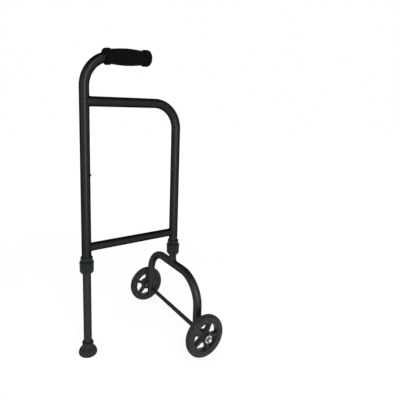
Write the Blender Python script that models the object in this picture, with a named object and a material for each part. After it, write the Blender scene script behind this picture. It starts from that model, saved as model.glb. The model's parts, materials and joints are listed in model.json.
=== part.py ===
# Adjustable walking cane with two front wheels, a rear foot and one hand grip.
# The origin is the centre of the foot's sole on the floor. +X is the walking
# direction, from the foot's post to the wheels' post, +Y is left and +Z is up.

import math

import bmesh
import bpy
from mathutils import Matrix, Vector

MM = 0.001

# Tubes of the frame
POST_DIAMETER = 25.4 * MM
POST_WALL = 1.4 * MM
POST_SPACING = 270 * MM
HANDLE_BEND_RADIUS = 76.5 * MM
HANDLE_RISE = math.radians(2.2)
BOW_BEND_RADIUS = 70 * MM
CROSSBAR_DIAMETER = 22 * MM
CROSSBAR_WALL = 1.4 * MM

# Heights. The first is from the floor, and each other is measured up from what lies under it.
ARCH_TOP = 200 * MM
LEG_BELOW_LOCK = 16.75 * MM
CROSSBAR_ABOVE_POST_END = 44.6 * MM
HOLES_ABOVE_CROSSBAR = 40.7 * MM
LEG_PAST_BUTTON = 42 * MM
BOW_BEND_ABOVE_LEGS = 72.2 * MM
HANDLE_BEND_ABOVE_TOP_BAR = 35.3 * MM

# Hand grip. Its heel is the stretch that covers the end of the handle's bend.
GRIP_LENGTH = 130 * MM
GRIP_HEEL = 22 * MM
GRIP_HEEL_BEND_RADIUS = 160 * MM
GRIP_NECK_WALL = 5.3 * MM
GRIP_BELLY = 3 * MM
GRIP_COLLAR_STEP = 2.4 * MM
GRIP_COLLAR_LENGTH = 16 * MM
GRIP_COLLAR_ROUNDING = 5 * MM
GRIP_KNOB_STEP = 3.1 * MM
GRIP_KNOB_LENGTH = 20.5 * MM
GRIP_KNOB_ROUNDING = 9 * MM
GRIP_STEP_LENGTH = 3 * MM
GRIP_END_WALL = 8 * MM
PLUG_FLANGE = 2 * MM
PLUG_LENGTH = 10 * MM

# Sliding legs and their height stops
LEG_WALL = 1.2 * MM
BUTTON_DIAMETER = 6.4 * MM
BUTTON_STAND_OUT = 3.6 * MM
BUTTON_DOME = 2.6 * MM
BUTTON_FLANGE_STEP = 1.3 * MM
BUTTON_FLANGE = 1 * MM
HOLE_PITCH = 25 * MM
HOLE_COUNT = 7
SPRING_STRIP = 0.6 * MM
SPRING_WIDTH = 7 * MM
SPRING_DROP = 45 * MM
SPRING_TAIL = 8 * MM
SPRING_CURL_RADIUS = 2.5 * MM
SPRING_LEAN = math.radians(20)

# Locking collars at the lower ends of both posts
COLLAR_GRIP = 20.3 * MM
COLLAR_WALL = 3.1 * MM
COLLAR_HEAD = 13 * MM
COLLAR_EDGE = 2.6 * MM
THREAD_STEP = 1.4 * MM
THREAD_LENGTH = 15.5 * MM
COLLET_LENGTH = 9 * MM
COLLET_WALL = 1.6 * MM
COLLET_FLARE = 0.8 * MM
COLLET_SLIT = 1.6 * MM
COLLET_BLADES = 2
CLAMP_RING_HEIGHT = 5 * MM
NUT_WALL = 3.6 * MM
NUT_FLOOR = 3.4 * MM
NUT_TAPER = 0.9 * MM
NUT_LIP = 0.5 * MM
NUT_LIP_HEIGHT = 2.4 * MM
NUT_CHAMFER = 5.2 * MM
NUT_CHAMFER_HEIGHT = 6.4 * MM

# Rubber foot
FOOT_RADIUS = 25 * MM
FOOT_HEIGHT = 32.4 * MM
FOOT_BASE = 8 * MM
FOOT_SHOULDER = 17 * MM
FOOT_NECK_WALL = 4.6 * MM
FOOT_NECK_TAPER = 0.5 * MM
FOOT_NECK_EDGE = 1.2 * MM
FOOT_ROUNDING = 1.2 * MM
FOOT_WASHER = 1.5 * MM

# Wheel fork
ARCH_DIAMETER = 23.5 * MM
ARCH_WALL = 1.5 * MM
ARCH_WIDTH = 255 * MM
ARCH_BEND_RADIUS = 75 * MM
ARM_CAP_THICKNESS = 2.4 * MM
ARM_CAP_DEPTH = 6.5 * MM
ARM_CAP_TO_TIE_BAR = 2.1 * MM
TIE_BAR_WALL = 1.7 * MM
AXLE_DIAMETER = 8 * MM

# Wheels
WHEEL_RADIUS = 59 * MM
TYRE_WIDTH = 21 * MM
TYRE_SHOULDER = 8.5 * MM
TYRE_DEPTH = 15.5 * MM
TYRE_BEAD = 1.5 * MM
TYRE_PAST_RIM = 1 * MM
RIM_BAND = 3.6 * MM
WEB_RECESS = 3 * MM
HUB_WALL = 6.4 * MM
HUB_LENGTH = 30 * MM
HUB_EDGE = 1 * MM
SPOKE_COUNT = 5
SPOKE_WIDTH = 7.5 * MM
WINDOW_CORNER = 3 * MM
WINDOW_TO_HUB = 4 * MM
WINDOW_TO_BAND = 1 * MM
RIGHT_WHEEL_TURN = math.radians(30)
LEFT_WHEEL_TURN = math.radians(47)

# What lies on the axle beside each wheel
BUSH_WALL = 2 * MM
BUSH_LENGTH = 6 * MM
BUSH_FLANGE = 1.2 * MM
BUSH_FLANGE_STEP = 1.9 * MM
SPACER_WALL = 3.7 * MM
SPACER_LENGTH = 5.95 * MM
WASHER_BAND = 6.2 * MM
WASHER_THICKNESS = 1.2 * MM
NUT_ACROSS_FLATS = 13 * MM
NUT_HEIGHT = 5.5 * MM
AXLE_PAST_NUT = 1 * MM

# Clearances
GAP = 0.3 * MM
SLIDE_GAP = 0.3 * MM
TURN_GAP = 0.3 * MM

# Fineness of round pieces, how far a cutter reaches past what it cuts, and how large an empty is drawn
TUBE_SIDES = 16
ROUND_SIDES = 20
WHEEL_SIDES = 36
HOLE_SIDES = 12
BUTTON_SIDES = 16
BEND_STEPS = 8
ARCH_STEPS = 6
CORNER_STEPS = 3
DOME_STEPS = 4
CURVE_STEPS = 6
CURL_STEPS = 8
WINDOW_FAR_STEPS = 6
WINDOW_NEAR_STEPS = 2
PAST_CUT = 4 * MM
CARRIER_SIZE = 20 * MM

# Radii that follow from the sizes above
POST_RADIUS = POST_DIAMETER / 2
POST_BORE = POST_RADIUS - POST_WALL
CROSSBAR_RADIUS = CROSSBAR_DIAMETER / 2
LEG_RADIUS = POST_BORE - SLIDE_GAP
LEG_BORE = LEG_RADIUS - LEG_WALL
LEG_FLAT = LEG_BORE * math.cos(math.pi / TUBE_SIDES)
GRIP_NECK_RADIUS = POST_RADIUS + GAP + GRIP_NECK_WALL
GRIP_COLLAR_RADIUS = GRIP_NECK_RADIUS + GRIP_COLLAR_STEP
GRIP_KNOB_RADIUS = GRIP_NECK_RADIUS + GRIP_KNOB_STEP
BUTTON_RADIUS = BUTTON_DIAMETER / 2
BUTTON_FLANGE_RADIUS = BUTTON_RADIUS + BUTTON_FLANGE_STEP
HOLE_RADIUS = BUTTON_RADIUS + SLIDE_GAP
ARCH_RADIUS = ARCH_DIAMETER / 2
ARCH_BORE = ARCH_RADIUS - ARCH_WALL
AXLE_RADIUS = AXLE_DIAMETER / 2
AXLE_BORE = AXLE_RADIUS + GAP
TIE_BAR_RADIUS = AXLE_BORE + TIE_BAR_WALL
SPACER_RADIUS = AXLE_BORE + SPACER_WALL
WASHER_RADIUS = AXLE_BORE + WASHER_BAND
BUSH_RADIUS = AXLE_BORE + BUSH_WALL
BUSH_FLANGE_RADIUS = BUSH_RADIUS + BUSH_FLANGE_STEP
HUB_RADIUS = BUSH_RADIUS + GAP + HUB_WALL
RIM_RADIUS = WHEEL_RADIUS - TYRE_DEPTH - GAP

# Places along the wheels' axle, from the middle of the fork outward
RIM_WIDTH = TYRE_WIDTH - 2 * TYRE_PAST_RIM
WEB_WIDTH = RIM_WIDTH - 2 * WEB_RECESS
ARM_OFFSET = ARCH_WIDTH / 2
SPACER_OUT = ARM_OFFSET + ARCH_RADIUS + SPACER_LENGTH
BUSH_STAND_OUT = GAP + BUSH_FLANGE + TURN_GAP
HUB_IN = SPACER_OUT + BUSH_STAND_OUT
WHEEL_OFFSET = HUB_IN + HUB_LENGTH / 2
HUB_OUT = HUB_IN + HUB_LENGTH
WASHER_IN = HUB_OUT + BUSH_STAND_OUT
NUT_IN = WASHER_IN + WASHER_THICKNESS + GAP
NUT_OUT = NUT_IN + NUT_HEIGHT

# Heights that follow, from the axle up through the locks to the handle
AXLE_HEIGHT = WHEEL_RADIUS
ARM_BOTTOM = AXLE_HEIGHT - TIE_BAR_RADIUS - ARM_CAP_TO_TIE_BAR - ARM_CAP_DEPTH
NUT_BOTTOM = ARCH_TOP + ARCH_RADIUS + LEG_BELOW_LOCK
NUT_FLOOR_TOP = NUT_BOTTOM + NUT_FLOOR
CLAMP_RING_BOTTOM = NUT_FLOOR_TOP + GAP
CLAMP_RING_TOP = CLAMP_RING_BOTTOM + CLAMP_RING_HEIGHT
COLLET_BOTTOM = CLAMP_RING_TOP + GAP
THREAD_BOTTOM = COLLET_BOTTOM + COLLET_LENGTH
THREAD_TOP = THREAD_BOTTOM + THREAD_LENGTH
COLLAR_TOP = THREAD_TOP + COLLAR_HEAD
POST_BOTTOM = COLLAR_TOP - COLLAR_GRIP
CROSSBAR_HEIGHT = POST_BOTTOM + CROSSBAR_ABOVE_POST_END
BUTTON_HEIGHT = CROSSBAR_HEIGHT + HOLES_ABOVE_CROSSBAR + (HOLE_COUNT - 1) * HOLE_PITCH
LEG_TOP = BUTTON_HEIGHT + LEG_PAST_BUTTON
TOP_BAR_HEIGHT = LEG_TOP + BOW_BEND_ABOVE_LEGS + BOW_BEND_RADIUS
HANDLE_BEND_START = TOP_BAR_HEIGHT + HANDLE_BEND_ABOVE_TOP_BAR

# The handle's bend, its rising end and the grip on it
HANDLE_TURN = math.pi / 2 - HANDLE_RISE
HANDLE_WAY = Vector((math.cos(HANDLE_RISE), 0, math.sin(HANDLE_RISE)))
HANDLE_UP = Vector((-math.sin(HANDLE_RISE), 0, math.cos(HANDLE_RISE)))
BEND_CENTRE = Vector((HANDLE_BEND_RADIUS, 0, HANDLE_BEND_START))
BEND_END = BEND_CENTRE + HANDLE_BEND_RADIUS * HANDLE_UP
GRIP_BORE_REACH = GRIP_LENGTH - GRIP_HEEL - GRIP_END_WALL
HANDLE_REACH = GRIP_BORE_REACH - PLUG_FLANGE - 2 * GAP


def clear_scene():
    for obj in list(bpy.data.objects):
        bpy.data.objects.remove(obj, do_unlink=True)


def make_material(name, colour, roughness, metallic):
    made = bpy.data.materials.new(name)
    made.use_nodes = True
    shader = made.node_tree.nodes["Principled BSDF"]
    shader.inputs["Base Color"].default_value = (*colour, 1)
    shader.inputs["Roughness"].default_value = roughness
    shader.inputs["Metallic"].default_value = metallic
    made.diffuse_color = (*colour, 1)
    return made


def add_object(name, mesh, material=None, location=(0, 0, 0), rotation=(0, 0, 0)):
    """Makes a bmesh into an object with its faces pointing out and its round faces smooth."""
    bmesh.ops.recalc_face_normals(mesh, faces=mesh.faces[:])
    data = bpy.data.meshes.new(name)
    mesh.to_mesh(data)
    mesh.free()
    data.shade_smooth()
    data.set_sharp_from_angle(angle=math.radians(35))
    if material:
        data.materials.append(material)
    obj = bpy.data.objects.new(name, data)
    obj.location = location
    obj.rotation_euler = rotation
    bpy.context.scene.collection.objects.link(obj)
    return obj


def cut(target, name, mesh, location=(0, 0, 0), rotation=(0, 0, 0)):
    """Cuts a shape out of an object. The cutter stays in the scene, unrendered."""
    cutter = add_object(name, mesh, None, location, rotation)
    cutter.hide_render = True
    cutter.display_type = "WIRE"
    modifier = target.modifiers.new(name, "BOOLEAN")
    modifier.operation = "DIFFERENCE"
    modifier.solver = "EXACT"
    modifier.object = cutter


def add_carrier(name, location, parent=None):
    """An empty on a joint's axis. The pieces that the joint moves hang on it."""
    empty = bpy.data.objects.new(name, None)
    empty.location = location
    empty.empty_display_size = CARRIER_SIZE
    bpy.context.scene.collection.objects.link(empty)
    if parent:
        hang(empty, parent)
    return empty


def hang(obj, carrier):
    """Parents an object to a carrier and leaves it where it is."""
    bpy.context.view_layer.update()
    obj.parent = carrier
    obj.matrix_parent_inverse = carrier.matrix_world.inverted()


def arc(centre, radius, start, end, steps):
    """Points of a round corner in an outline, with its angles in degrees."""
    angles = [math.radians(start + (end - start) * step / steps) for step in range(steps + 1)]
    return [(centre[0] + radius * math.cos(a), centre[1] + radius * math.sin(a)) for a in angles]


def turned(outline, sides=ROUND_SIDES):
    """Turns an outline of (radius, height) points about Z. One that starts on the axis also ends there."""
    mesh = bmesh.new()
    corners = [mesh.verts.new((radius, 0, height)) for radius, height in outline]
    lines = [mesh.edges.new(pair) for pair in zip(corners, corners[1:])]
    if outline[0][0] > 0:
        lines.append(mesh.edges.new((corners[-1], corners[0])))
    bmesh.ops.spin(
        mesh, geom=corners + lines, cent=(0, 0, 0), axis=(0, 0, 1),
        angle=math.tau, steps=sides, use_merge=True, use_duplicate=False,
    )
    bmesh.ops.remove_doubles(mesh, verts=mesh.verts[:], dist=1e-7)
    return mesh


def ring(outer, inner, low, high):
    return turned([(inner, low), (outer, low), (outer, high), (inner, high)])


def add_cylinder(mesh, radius, low, high, sides, place=Matrix()):
    bmesh.ops.create_cone(
        mesh, cap_ends=True, segments=sides, radius1=radius, radius2=radius,
        depth=high - low, matrix=place @ Matrix.Translation((0, 0, (low + high) / 2)),
    )


def cylinder(radius, low, high, sides=TUBE_SIDES):
    mesh = bmesh.new()
    add_cylinder(mesh, radius, low, high, sides)
    return mesh


def prism(outline, low, high):
    """Extrudes a flat outline of (x, y) points from one height to another."""
    mesh = bmesh.new()
    floor = mesh.faces.new([mesh.verts.new((x, y, low)) for x, y in outline])
    raised = bmesh.ops.extrude_face_region(mesh, geom=[floor], use_keep_orig=True)["geom"]
    corners = [item for item in raised if isinstance(item, bmesh.types.BMVert)]
    bmesh.ops.translate(mesh, verts=corners, vec=(0, 0, high - low))
    return mesh


def bent_path(start, turn_axis, heading, runs, steps=BEND_STEPS):
    """Stations along straight runs and bends. Each is a matrix whose Z points along the path.

    A straight run is (length,), and a bend is (angle, radius) about the turn axis.
    """

    def way(angle):
        return Matrix.Rotation(angle, 3, turn_axis) @ Vector((0, 0, 1))

    spot = Vector(start)
    spots = [(spot, heading)]
    for run in runs:
        if len(run) == 1:
            spots.append((spot + run[0] * way(heading), heading))
        else:
            turn, radius = run
            centre = spot + radius * way(heading + math.pi / 2)
            for step in range(1, steps + 1):
                angle = heading + turn * step / steps
                spots.append((centre - radius * way(angle + math.pi / 2), angle))
        spot, heading = spots[-1]
    return [Matrix.Translation(spot) @ Matrix.Rotation(angle, 4, turn_axis) for spot, angle in spots]


def add_ring(mesh, station, radius, sides):
    """A ring of corners round a station, or one corner where the radius is 0."""
    if radius == 0:
        return [mesh.verts.new(station.to_translation())]
    angles = [math.tau * side / sides for side in range(sides)]
    return [mesh.verts.new(station @ Vector((radius * math.cos(a), radius * math.sin(a), 0))) for a in angles]


def join_rings(mesh, ring_a, ring_b):
    """Faces between two rings. A ring of one corner is the tip of a fan."""
    sides = max(len(ring_a), len(ring_b))
    for side in range(sides):
        after = (side + 1) % sides
        corners = [ring_a[side % len(ring_a)], ring_a[after % len(ring_a)]]
        corners += [ring_b[after % len(ring_b)], ring_b[side % len(ring_b)]]
        mesh.faces.new(list(dict.fromkeys(corners)))


def swept(stations, outer, inner=0):
    """A round tube along a path, or a round bar where the inner radius is 0."""
    mesh = bmesh.new()
    skin = [add_ring(mesh, station, outer, TUBE_SIDES) for station in stations]
    for ring_a, ring_b in zip(skin, skin[1:]):
        join_rings(mesh, ring_a, ring_b)
    if inner:
        bore = [add_ring(mesh, station, inner, TUBE_SIDES) for station in stations]
        for ring_a, ring_b in zip(bore, bore[1:]):
            join_rings(mesh, ring_b, ring_a)
        join_rings(mesh, bore[0], skin[0])
        join_rings(mesh, skin[-1], bore[-1])
    else:
        mesh.faces.new(skin[0][::-1])
        mesh.faces.new(skin[-1])
    return mesh


def upright(low, high):
    return bent_path((0, 0, low), "X", 0, [(high - low,)])


def lengthwise(start, end, height):
    return bent_path((start, 0, height), "Y", math.pi / 2, [(end - start,)])


def crosswise(reach, height):
    return bent_path((0, -reach, height), "X", -math.pi / 2, [(2 * reach,)])


def handle_path(reach):
    """The rear post's middle line: up from its lower end, round the bend, then along the grip."""
    rise = HANDLE_BEND_START - POST_BOTTOM
    return bent_path((0, 0, POST_BOTTOM), "Y", 0, [(rise,), (HANDLE_TURN, HANDLE_BEND_RADIUS), (reach,)])


def hole_row(x, toward):
    """Cutters for the row of height holes on the side of a post that faces the other post."""
    mesh = bmesh.new()
    turn = Matrix.Rotation(toward * math.pi / 2, 4, "Y")
    for step in range(HOLE_COUNT):
        place = Matrix.Translation((x, 0, BUTTON_HEIGHT - step * HOLE_PITCH)) @ turn
        add_cylinder(mesh, HOLE_RADIUS, 0, POST_DIAMETER, HOLE_SIDES, place)
    return mesh


def build_frame(paint):
    post = add_object("main_post", swept(handle_path(HANDLE_REACH), POST_RADIUS, POST_BORE), paint)
    cut(post, "rear_hole_row", hole_row(0, 1))

    top_run = POST_SPACING - BOW_BEND_RADIUS
    drop = TOP_BAR_HEIGHT - BOW_BEND_RADIUS - POST_BOTTOM
    bow_runs = [(top_run,), (math.pi / 2, BOW_BEND_RADIUS), (drop,)]
    bow_path = bent_path((0, 0, TOP_BAR_HEIGHT), "Y", math.pi / 2, bow_runs)
    bow = add_object("front_bow", swept(bow_path, POST_RADIUS, POST_BORE), paint)
    cut(bow, "front_hole_row", hole_row(POST_SPACING, -1))

    bar_path = lengthwise(0, POST_SPACING, CROSSBAR_HEIGHT)
    bar = add_object("crossbar", swept(bar_path, CROSSBAR_RADIUS, CROSSBAR_RADIUS - CROSSBAR_WALL), paint)

    # Each welded end is hollowed to lie against its post.
    def saddle():
        return swept(upright(POST_BOTTOM, HANDLE_BEND_START), POST_RADIUS + GAP)

    cut(bow, "top_bar_saddle", saddle())
    cut(bar, "bar_rear_saddle", saddle())
    cut(bar, "bar_front_saddle", saddle(), (POST_SPACING, 0, 0))


def grip_outline():
    """The grip's outline from its inner end: collar, neck, belly, neck and a round closed knob."""
    belly_start = GRIP_COLLAR_LENGTH + GRIP_STEP_LENGTH
    belly_end = GRIP_LENGTH - GRIP_KNOB_LENGTH - GRIP_STEP_LENGTH
    outline = [(0, 0)]
    round_in = GRIP_COLLAR_RADIUS - GRIP_COLLAR_ROUNDING
    outline += arc((round_in, GRIP_COLLAR_ROUNDING), GRIP_COLLAR_ROUNDING, -90, 0, CORNER_STEPS)
    outline.append((GRIP_COLLAR_RADIUS, GRIP_COLLAR_LENGTH))
    for step in range(CURVE_STEPS + 1):
        share = step / CURVE_STEPS
        bulge = GRIP_BELLY * math.sin(math.pi * share)
        outline.append((GRIP_NECK_RADIUS + bulge, belly_start + (belly_end - belly_start) * share))
    outline.append((GRIP_KNOB_RADIUS, GRIP_LENGTH - GRIP_KNOB_LENGTH))
    knob_centre = (GRIP_KNOB_RADIUS - GRIP_KNOB_ROUNDING, GRIP_LENGTH - GRIP_KNOB_ROUNDING)
    outline += arc(knob_centre, GRIP_KNOB_ROUNDING, 0, 90, DOME_STEPS)
    outline.append((0, GRIP_LENGTH))
    return outline


def grip_station(distance):
    """The place on the grip's middle line at a distance from its inner end. Its heel bends with the tube."""
    past_heel = distance - GRIP_HEEL
    angle = min(past_heel / GRIP_HEEL_BEND_RADIUS, 0)
    if angle < 0:
        centre = BEND_END - GRIP_HEEL_BEND_RADIUS * HANDLE_UP
        spot = centre + GRIP_HEEL_BEND_RADIUS * (Matrix.Rotation(angle, 3, "Y") @ HANDLE_UP)
    else:
        spot = BEND_END + past_heel * HANDLE_WAY
    return Matrix.Translation(spot) @ Matrix.Rotation(HANDLE_TURN + angle, 4, "Y")


def build_grip(foam, plastic):
    mesh = bmesh.new()
    rings = [add_ring(mesh, grip_station(place), radius, ROUND_SIDES) for radius, place in grip_outline()]
    for ring_a, ring_b in zip(rings, rings[1:]):
        join_rings(mesh, ring_a, ring_b)
    grip = add_object("grip", mesh, foam)
    cut(grip, "grip_bore", swept(handle_path(GRIP_BORE_REACH), POST_RADIUS + GAP))

    plug_spot = BEND_END + HANDLE_REACH * HANDLE_WAY
    plug = turned(plug_outline(POST_RADIUS, POST_BORE))
    add_object("grip_end_plug", plug, plastic, plug_spot, (0, HANDLE_TURN, 0))


def plug_outline(radius, bore):
    """A plug whose stem fits a tube's bore and whose flange covers the tube's end at height 0."""
    stem = bore * math.cos(math.pi / TUBE_SIDES) - GAP
    top = GAP + PLUG_FLANGE
    return [(0, -PLUG_LENGTH), (stem, -PLUG_LENGTH), (stem, GAP), (radius, GAP), (radius, top), (0, top)]


def build_lock(place, x, plastic, nut_plastic):
    """A post's locking collar: slit collet sleeve, clamp ring, and the nut that closes them on the leg."""
    spot = (x, 0, 0)
    bore = LEG_RADIUS + GAP
    seat = POST_BOTTOM - GAP
    sleeve = POST_RADIUS + GAP
    head = sleeve + COLLAR_WALL
    thread = head - THREAD_STEP
    collet = bore + COLLET_WALL
    flare = collet + COLLET_FLARE
    collar_outline = [
        (bore, COLLET_BOTTOM), (collet, COLLET_BOTTOM), (flare, THREAD_BOTTOM),
        (thread, THREAD_BOTTOM), (thread, THREAD_TOP), (head, THREAD_TOP),
        (head, COLLAR_TOP - COLLAR_EDGE), (head - COLLAR_EDGE, COLLAR_TOP),
        (sleeve, COLLAR_TOP), (sleeve, seat), (bore, seat),
    ]
    collar = add_object(f"{place}_collar", turned(collar_outline), plastic, spot)
    slit = COLLET_SLIT / 2
    blade = [(-thread, -slit), (thread, -slit), (thread, slit), (-thread, slit)]
    for count in range(COLLET_BLADES):
        cut(
            collar, f"{place}_collet_slit_{count + 1}",
            prism(blade, COLLET_BOTTOM - PAST_CUT, THREAD_BOTTOM - COLLET_SLIT),
            spot, (0, 0, math.pi * (count + 0.5) / COLLET_BLADES),
        )

    climb = add_carrier(f"{place}_nut_climb", spot)
    clamp = ring(collet, bore, CLAMP_RING_BOTTOM, CLAMP_RING_TOP)
    clamp = add_object(f"{place}_clamp_ring", clamp, plastic, spot)
    hang(clamp, climb)

    top = THREAD_TOP - TURN_GAP
    lip_low = top - NUT_LIP_HEIGHT
    thread_bore = thread + TURN_GAP
    thread_end = THREAD_BOTTOM - TURN_GAP
    collet_bore = flare + TURN_GAP
    leg_bore = bore + TURN_GAP
    outer = thread_bore + NUT_WALL
    low_outer = outer - NUT_TAPER
    nut_outline = [
        (leg_bore, NUT_BOTTOM), (low_outer - NUT_CHAMFER, NUT_BOTTOM),
        (low_outer, NUT_BOTTOM + NUT_CHAMFER_HEIGHT),
        (outer, lip_low - NUT_LIP), (outer + NUT_LIP, lip_low), (outer + NUT_LIP, top - NUT_LIP),
        (outer, top), (thread_bore, top), (thread_bore, thread_end),
        (collet_bore, thread_end), (collet_bore, NUT_FLOOR_TOP), (leg_bore, NUT_FLOOR_TOP),
    ]
    turn = add_carrier(f"{place}_nut_turn", spot, climb)
    hang(add_object(f"{place}_lock_nut", turned(nut_outline), nut_plastic, spot), turn)


def inside_leg(half_width):
    """How far from the leg's axis a piece of this half width can reach before it is a gap from the wall."""
    return math.sqrt((LEG_FLAT - GAP) ** 2 - half_width**2)


def spring_path(flange_back):
    """The V spring's middle line as (x, z) points from the button's axis, with the button toward +X."""
    back = SPRING_STRIP / 2 - inside_leg(SPRING_WIDTH / 2)
    front = flange_back - GAP - SPRING_STRIP / 2
    curl_centre = (back + SPRING_CURL_RADIUS, -SPRING_DROP)
    curl = arc(curl_centre, SPRING_CURL_RADIUS, 180, 360 - math.degrees(SPRING_LEAN), CURL_STEPS)
    end_x, end_z = curl[-1]
    knee = end_z + (front - end_x) / math.tan(SPRING_LEAN)
    return [(back, SPRING_TAIL), *curl, (front, knee), (front, SPRING_TAIL)]


def strip(path, thickness, width):
    """A flat strip that follows (x, z) points, with its width along Y."""
    mesh = bmesh.new()
    spots = [Vector(point) for point in path]
    sections = []
    for index, spot in enumerate(spots):
        along = spots[min(index + 1, len(spots) - 1)] - spots[max(index - 1, 0)]
        across = Vector((-along.y, along.x)).normalized() * thickness / 2
        corners = [(1, -1), (1, 1), (-1, 1), (-1, -1)]
        sections.append(
            [mesh.verts.new((spot.x + s * across.x, t * width / 2, spot.y + s * across.y)) for s, t in corners]
        )
    for section_a, section_b in zip(sections, sections[1:]):
        join_rings(mesh, section_a, section_b)
    mesh.faces.new(sections[0][::-1])
    mesh.faces.new(sections[-1])
    return mesh


def build_leg(place, x, low, toward, paint, steel, plastic):
    """A leg tube with its top plug and its height stop: a snap button and the V spring behind it."""
    spot = (x, 0, BUTTON_HEIGHT)
    facing = (0, toward * math.pi / 2, 0)
    leg = add_carrier(f"{place}_leg_slide", (x, 0, 0))
    tube = swept(upright(low, LEG_TOP), LEG_RADIUS, LEG_BORE)
    tube = add_object(f"{place}_leg_tube", tube, paint, (x, 0, 0))
    cut(tube, f"{place}_leg_hole", cylinder(HOLE_RADIUS, 0, POST_DIAMETER, HOLE_SIDES), spot, facing)
    hang(tube, leg)
    plug = turned(plug_outline(LEG_RADIUS, LEG_BORE))
    plug = add_object(f"{place}_leg_plug", plug, plastic, (x, 0, LEG_TOP))
    hang(plug, leg)

    shoulder = inside_leg(BUTTON_FLANGE_RADIUS)
    flange_back = shoulder - BUTTON_FLANGE
    tip = POST_RADIUS + BUTTON_STAND_OUT
    dome_angles = [math.pi / 2 * step / DOME_STEPS for step in range(DOME_STEPS)]
    dome = [(BUTTON_RADIUS * math.cos(a), tip - BUTTON_DOME * (1 - math.sin(a))) for a in dome_angles]
    button_outline = [
        (0, flange_back), (BUTTON_FLANGE_RADIUS, flange_back), (BUTTON_FLANGE_RADIUS, shoulder),
        (BUTTON_RADIUS, shoulder), *dome, (0, tip),
    ]
    press = add_carrier(f"{place}_button_press", spot, leg)
    hang(add_object(f"{place}_snap_button", turned(button_outline, BUTTON_SIDES), steel, spot, facing), press)
    spring = strip(spring_path(flange_back), SPRING_STRIP, SPRING_WIDTH)
    spring_turn = (0, 0, math.pi * (1 - toward) / 2)
    hang(add_object(f"{place}_button_spring", spring, steel, spot, spring_turn), leg)
    return leg, tube


def foot_outline():
    """The rubber foot: a round-edged sole, a shoulder that curves in to the neck, and the leg's socket."""
    socket = LEG_RADIUS + GAP
    neck = socket + FOOT_NECK_WALL
    rise = FOOT_SHOULDER - FOOT_ROUNDING
    outline = [(0, 0)]
    outline += arc((FOOT_RADIUS - FOOT_ROUNDING, FOOT_ROUNDING), FOOT_ROUNDING, -90, 0, CORNER_STEPS)
    for step in range(1, CURVE_STEPS + 1):
        share = step / CURVE_STEPS
        outline.append((neck + (FOOT_RADIUS - neck) * math.sqrt(1 - share**2), FOOT_ROUNDING + rise * share))
    rim = neck - FOOT_NECK_TAPER
    outline += [(rim, FOOT_HEIGHT - FOOT_NECK_EDGE), (rim - FOOT_NECK_EDGE, FOOT_HEIGHT)]
    outline += [(socket, FOOT_HEIGHT), (socket, FOOT_BASE), (0, FOOT_BASE)]
    return outline


def build_rear_leg(paint, steel, plastic, rubber):
    washer_bottom = FOOT_BASE + GAP
    washer_top = washer_bottom + FOOT_WASHER
    leg, _ = build_leg("rear", 0, washer_top + GAP, 1, paint, steel, plastic)
    hang(add_object("foot_washer", cylinder(LEG_RADIUS, washer_bottom, washer_top), steel), leg)
    hang(add_object("foot_ferrule", turned(foot_outline()), rubber), leg)


def build_fork(paint, steel, plastic):
    """The front leg, the arch welded to it, and the axle between the arch's arms."""
    spot = (POST_SPACING, 0, 0)
    leg, tube = build_leg("front", POST_SPACING, ARCH_TOP, -1, paint, steel, plastic)
    top_run = ARCH_WIDTH - 2 * ARCH_BEND_RADIUS
    cut(tube, "arch_saddle", swept(crosswise(top_run / 2, ARCH_TOP), ARCH_RADIUS + GAP), spot)

    arm_run = ARCH_TOP - ARCH_BEND_RADIUS - ARM_BOTTOM
    quarter = (math.pi / 2, ARCH_BEND_RADIUS)
    arch_runs = [(arm_run,), quarter, (top_run,), quarter, (arm_run,)]
    arch_path = bent_path((0, ARM_OFFSET, ARM_BOTTOM), "X", 0, arch_runs, ARCH_STEPS)
    arch = add_object("fork_arch", swept(arch_path, ARCH_RADIUS, ARCH_BORE), paint, spot)
    hang(arch, leg)
    tie_reach = ARM_OFFSET + math.sqrt(ARCH_RADIUS**2 - TIE_BAR_RADIUS**2)
    cut(arch, "tie_bar_hole", swept(crosswise(tie_reach + PAST_CUT, AXLE_HEIGHT), TIE_BAR_RADIUS + GAP), spot)
    tie_bar = swept(crosswise(tie_reach, AXLE_HEIGHT), TIE_BAR_RADIUS, AXLE_BORE)
    hang(add_object("tie_bar", tie_bar, paint, spot), leg)
    rod = swept(crosswise(NUT_OUT + AXLE_PAST_NUT, AXLE_HEIGHT), AXLE_RADIUS)
    hang(add_object("axle_rod", rod, steel, spot), leg)
    return leg


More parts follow.
